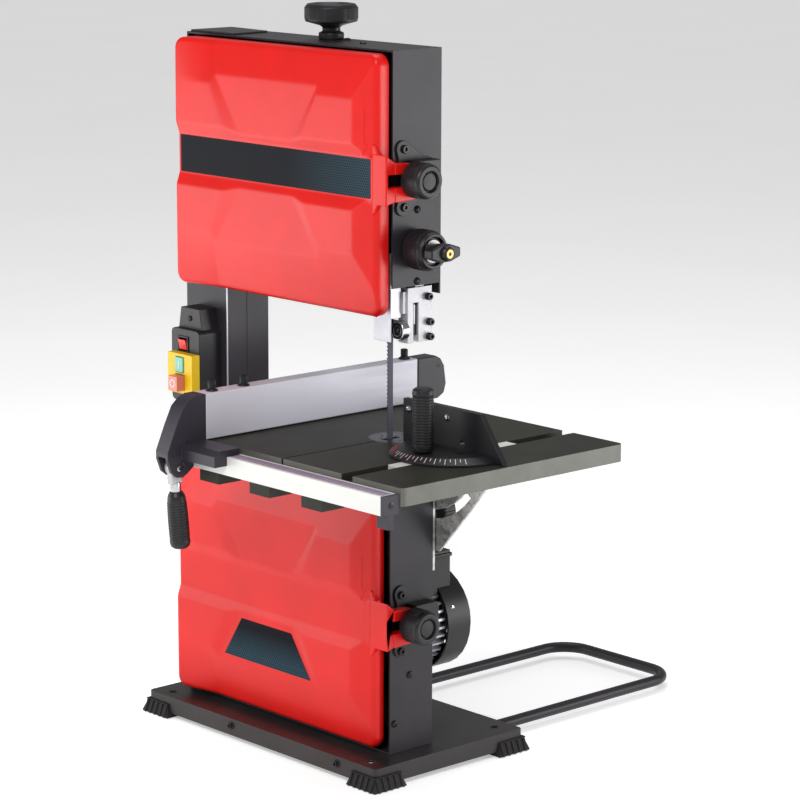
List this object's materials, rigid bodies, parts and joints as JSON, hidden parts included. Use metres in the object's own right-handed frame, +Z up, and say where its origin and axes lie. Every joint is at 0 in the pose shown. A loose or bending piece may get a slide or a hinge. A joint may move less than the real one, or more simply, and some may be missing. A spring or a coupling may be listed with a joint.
{
  "type": "bench band saw",
  "caption": "Bench band saw with hinged wheel doors, tilting table, rip fence, mitre gauge, sliding blade guide, belt drive and a motor behind the lower housing.",
  "frame": {"origin": "middle of the outline seen from above, on the bench under the feet", "axes": "+X from the column across the throat to the free side of the table, +Y from the operator towards the motor and the stabiliser tube, +Z up"},
  "size_m": [0.5082, 0.641, 0.778],
  "materials": {
    "red_paint": "semi-gloss red powder coat",
    "black_sheet": "satin black powder coat",
    "black_plastic": "fine-textured black plastic",
    "rubber": "matt black rubber",
    "aluminium": "satin aluminium",
    "cast_wheel": "as-cast and turned aluminium",
    "zinc": "galvanised sheet",
    "steel": "machined steel",
    "chrome": "polished chrome",
    "table_paint": "dark satin coated cast aluminium",
    "yellow_plastic": "yellow plastic",
    "green_plastic": "green plastic",
    "red_plastic": "red plastic"
  },
  "bodies": {
    "frame": {"base_pan": "black_sheet", "foot_front_left": "rubber", "foot_front_right": "rubber", "foot_rear_left": "rubber", "foot_rear_right": "rubber", "stabiliser_tube": "black_sheet", "lower_housing": "black_sheet", "column": "black_sheet", "upper_housing": "black_sheet", "lower_guide": "aluminium", "upper_latch_bracket": "black_sheet", "lower_latch_bracket": "black_sheet", "lower_axle": "steel", "saw_blade": "steel", "carriage_channel": "zinc", "drive_belt": "rubber", "motor_body": "aluminium", "fan_cover": "black_plastic", "capacitor_box": "black_plastic", "trunnion_bracket": "zinc", "switch_box": "black_plastic", "switch_cover": "yellow_plastic"},
    "upper_door_body": {"upper_door": "red_paint"},
    "lower_door_body": {"lower_door": "red_paint"},
    "upper_latch": {"upper_latch_knob": "black_plastic"},
    "lower_latch": {"lower_latch_knob": "black_plastic"},
    "lower_wheel_body": {"lower_wheel": "cast_wheel", "lower_tyre": "rubber"},
    "upper_wheel_body": {"upper_wheel": "cast_wheel", "upper_tyre": "rubber"},
    "rotor": {"motor_rotor": "steel"},
    "tension": {"tension_knob": "black_plastic"},
    "carriage": {"wheel_carriage": "steel", "tension_spring": "steel"},
    "carrier": {"wheel_carrier": "steel"},
    "tracking": {"tracking_knob": "black_plastic"},
    "table": {"saw_table": "table_paint", "table_insert": "aluminium", "table_trunnion": "zinc", "front_rail": "aluminium", "rail_end_cap": "black_plastic"},
    "tilt_lock": {"tilt_lock_knob": "black_plastic"},
    "fence": {"fence_profile": "aluminium", "fence_head": "black_plastic", "fence_rear_cap": "black_plastic"},
    "fence_cam": {"fence_lever": "chrome"},
    "mitre_slide": {"mitre_bar": "aluminium"},
    "mitre_gauge": {"mitre_head": "black_plastic"},
    "mitre_lock": {"mitre_handle": "black_plastic"},
    "guide": {"guide_post": "steel", "guide_block": "aluminium", "blade_guard": "aluminium"},
    "right_roller": {"guide_roller_right": "chrome"},
    "left_roller": {"guide_roller_left": "chrome"},
    "back_roller": {"thrust_roller": "chrome"},
    "height_adjuster": {"height_knob": "black_plastic"},
    "guide_clamp": {"guide_clamp_knob": "black_plastic"},
    "rocker": {"rocker_switch": "red_plastic"},
    "start": {"start_button": "green_plastic"},
    "stop": {"stop_button": "red_plastic"}
  },
  "joints": [
    {"name": "upper_door_hinge", "type": "hinge", "parent": "frame", "child": "upper_door_body", "pos_m": [-0.2189, -0.1465, 0.608], "axis": [0, 0, -1], "range_deg": [0, 110]},
    {"name": "lower_door_hinge", "type": "hinge", "parent": "frame", "child": "lower_door_body", "pos_m": [-0.2296, -0.1465, 0.159], "axis": [0, 0, -1], "range_deg": [0, 32]},
    {"name": "upper_latch_turn", "type": "hinge", "parent": "frame", "child": "upper_latch", "pos_m": [0.1291, -0.1285, 0.6156], "axis": [1, 0, 0], "range_deg": [0, 720]},
    {"name": "lower_latch_turn", "type": "hinge", "parent": "frame", "child": "lower_latch", "pos_m": [0.1291, -0.1285, 0.1637], "axis": [1, 0, 0], "range_deg": [0, 720]},
    {"name": "tension_turn", "type": "hinge", "parent": "frame", "child": "tension", "pos_m": [-0.04305, -0.0955, 0.76], "axis": [0, 0, 1], "range_deg": [0, 1440]},
    {"name": "carriage_slide", "type": "slide", "parent": "frame", "child": "carriage", "axis": [0, 0, 1], "range_m": [-0.005, 0]},
    {"name": "tracking_turn", "type": "hinge", "parent": "carriage", "child": "tracking", "pos_m": [-0.04305, -0.0555, 0.632], "axis": [0, 1, 0], "range_deg": [-115, 115]},
    {"name": "wheel_tilt", "type": "hinge", "parent": "carriage", "child": "carrier", "pos_m": [-0.04305, -0.0955, 0.609], "axis": [1, 0, 0], "range_deg": [-1, 1]},
    {"name": "upper_wheel_spin", "type": "hinge", "parent": "carrier", "child": "upper_wheel_body", "pos_m": [-0.04305, -0.1255, 0.609], "axis": [0, 1, 0], "continuous": true},
    {"name": "lower_wheel_spin", "type": "hinge", "parent": "frame", "child": "lower_wheel_body", "pos_m": [-0.04305, -0.1255, 0.16], "axis": [0, 1, 0], "continuous": true},
    {"name": "motor_spin", "type": "hinge", "parent": "frame", "child": "rotor", "pos_m": [0.0211, -0.0755, 0.134], "axis": [0, 1, 0], "continuous": true},
    {"name": "table_tilt", "type": "hinge", "parent": "frame", "child": "table", "pos_m": [0.0801, -0.1175, 0.3496], "axis": [0, 1, 0], "range_deg": [0, 45]},
    {"name": "tilt_lock_turn", "type": "hinge", "parent": "frame", "child": "tilt_lock", "pos_m": [0.0801, -0.0605, 0.2646], "axis": [0, 1, 0], "range_deg": [0, 180]},
    {"name": "fence_slide", "type": "slide", "parent": "table", "child": "fence", "axis": [-1, 0, 0], "range_m": [-0.09, 0]},
    {"name": "fence_lever_lift", "type": "hinge", "parent": "fence", "child": "fence_cam", "pos_m": [-0.0424, -0.3055, 0.326], "axis": [-1, 0, 0], "range_deg": [0, 80]},
    {"name": "mitre_slide", "type": "slide", "parent": "table", "child": "mitre_slide", "axis": [0, 1, 0], "range_m": [-0.055, 0.075]},
    {"name": "mitre_swing", "type": "hinge", "parent": "mitre_slide", "child": "mitre_gauge", "pos_m": [0.1758, -0.1295, 0.354], "axis": [0, 0, 1], "range_deg": [-45, 45]},
    {"name": "mitre_handle_turn", "type": "hinge", "parent": "mitre_slide", "child": "mitre_lock", "pos_m": [0.1758, -0.1685, 0.385], "axis": [0, 0, 1], "range_deg": [0, 180]},
    {"name": "height_turn", "type": "hinge", "parent": "frame", "child": "height_adjuster", "pos_m": [0.1171, -0.1115, 0.544], "axis": [1, 0, 0], "range_deg": [-908, 0]},
    {"name": "guide_slide", "type": "slide", "parent": "frame", "child": "guide", "axis": [0, 0, 1], "range_m": [-0.095, 0]},
    {"name": "guide_clamp_turn", "type": "hinge", "parent": "frame", "child": "guide_clamp", "pos_m": [0.1401, -0.1115, 0.544], "axis": [1, 0, 0], "range_deg": [0, 90]},
    {"name": "right_roller_spin", "type": "hinge", "parent": "guide", "child": "right_roller", "pos_m": [0.09095, -0.1215, 0.461], "axis": [0, 1, 0], "continuous": true},
    {"name": "left_roller_spin", "type": "hinge", "parent": "guide", "child": "left_roller", "pos_m": [0.06925, -0.1215, 0.461], "axis": [0, 1, 0], "continuous": true},
    {"name": "back_roller_spin", "type": "hinge", "parent": "guide", "child": "back_roller", "pos_m": [0.0781, -0.1129, 0.489], "axis": [1, 0, 0], "continuous": true},
    {"name": "rocker_tip", "type": "hinge", "parent": "frame", "child": "rocker", "pos_m": [-0.1964, -0.17, 0.4135], "axis": [-1, 0, 0], "range_deg": [0, 14]},
    {"name": "start_press", "type": "slide", "parent": "frame", "child": "start", "axis": [0, 1, 0], "range_m": [0, 0.003], "stiffness_N_per_m": 300},
    {"name": "stop_press", "type": "slide", "parent": "frame", "child": "stop", "axis": [0, 1, 0], "range_m": [0, 0.004], "stiffness_N_per_m": 400}
  ],
  "couplings": [
    {"joint": "tension_turn", "follows": "carriage_slide", "rad_per_m": -5026},
    {"joint": "wheel_tilt", "follows": "tracking_turn", "ratio": 0.0086},
    {"joint": "upper_wheel_spin", "follows": "lower_wheel_spin", "ratio": 1},
    {"joint": "motor_spin", "follows": "lower_wheel_spin", "ratio": 3},
    {"joint": "height_turn", "follows": "guide_slide", "rad_per_m": 166.67}
  ]
}
